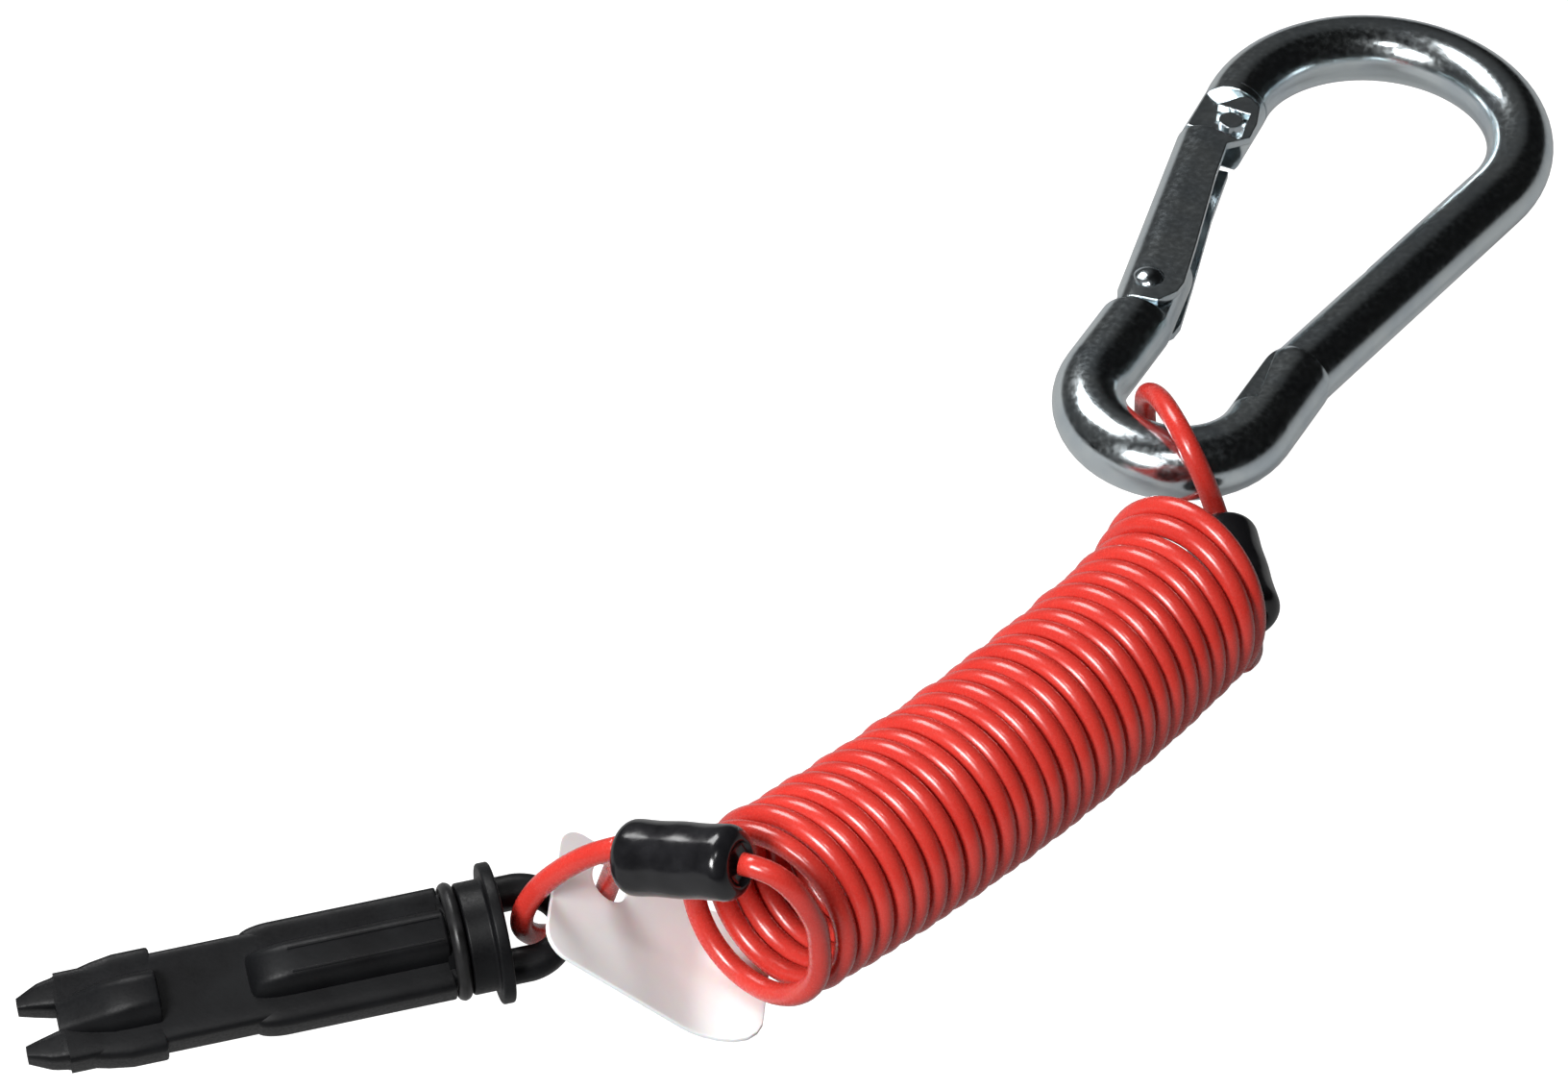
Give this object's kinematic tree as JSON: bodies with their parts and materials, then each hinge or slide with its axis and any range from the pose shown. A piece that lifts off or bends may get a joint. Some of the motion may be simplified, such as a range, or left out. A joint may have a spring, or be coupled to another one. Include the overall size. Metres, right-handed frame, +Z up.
{
  "type": "coiled safety lanyard",
  "caption": "Curly cable lanyard with a sprung snap hook at one end and a ribbed pull pin at the other.",
  "frame": {"origin": "middle of the snap hook's outline, on the surface it lies on", "axes": "+Y along the hook towards its wide end, +X towards its solid spine, +Z up"},
  "size_m": [0.0959, 0.2225, 0.0298],
  "materials": {
    "plated_steel": "bright zinc or nickel plate",
    "spring_steel": "bright",
    "red_jacket": "glossy vinyl",
    "black_sleeve": "glossy heat-shrink",
    "crimp_metal": "satin",
    "tag_sheet": "matte",
    "black_nylon": "semi-matte",
    "black_rubber": "matte"
  },
  "bodies": {
    "lanyard": {"cable_coil": "red_jacket", "cable_eye_hook": "red_jacket", "cable_lead_hook": "red_jacket", "cable_lead_pin": "red_jacket", "cable_eye_pin": "red_jacket", "sleeve_hook": "black_sleeve", "sleeve_pin": "black_sleeve", "ferrule_hook": "crimp_metal", "ferrule_pin": "crimp_metal"},
    "hook": {"hook_body": "plated_steel"},
    "gate": {"hook_gate": "plated_steel", "gate_rivet": "plated_steel", "gate_spring": "spring_steel"},
    "plunger": {"gate_plunger": "spring_steel"},
    "tag": {"marker_tag": "tag_sheet"},
    "pin": {"pull_pin": "black_nylon", "pin_o_ring": "black_rubber"}
  },
  "joints": [
    {"name": "hook_swing", "type": "hinge", "parent": "lanyard", "child": "hook", "pos_m": [0.0045, -0.04016, 0.00755], "axis": [0.8972, 0.4411, -0.02], "range_deg": [-10, 60]},
    {"name": "gate_hinge", "type": "hinge", "parent": "hook", "child": "gate", "pos_m": [-0.011, -0.01623, 0.00651], "axis": [0, -0.043, -0.9991], "range_deg": [0, 26], "stiffness_Nm_per_rad": 0.015, "springref_deg": -28.65},
    {"name": "plunger_slide", "type": "slide", "parent": "gate", "child": "plunger", "axis": [-0.204, 0.978, -0.043], "range_m": [0, 0.0015]},
    {"name": "tag_swing", "type": "hinge", "parent": "lanyard", "child": "tag", "pos_m": [-0.0209, -0.12867, 0.00896], "axis": [0.573, 0.2432, 0.7826], "range_deg": [-3, 10]},
    {"name": "pin_swing", "type": "hinge", "parent": "lanyard", "child": "pin", "pos_m": [-0.02311, -0.13459, 0.00816], "axis": [0.6218, -0.6694, -0.4065], "range_deg": [-15, 20]}
  ],
  "couplings": [
    {"joint": "plunger_slide", "follows": "gate_hinge", "m_per_rad": 0.00307}
  ]
}
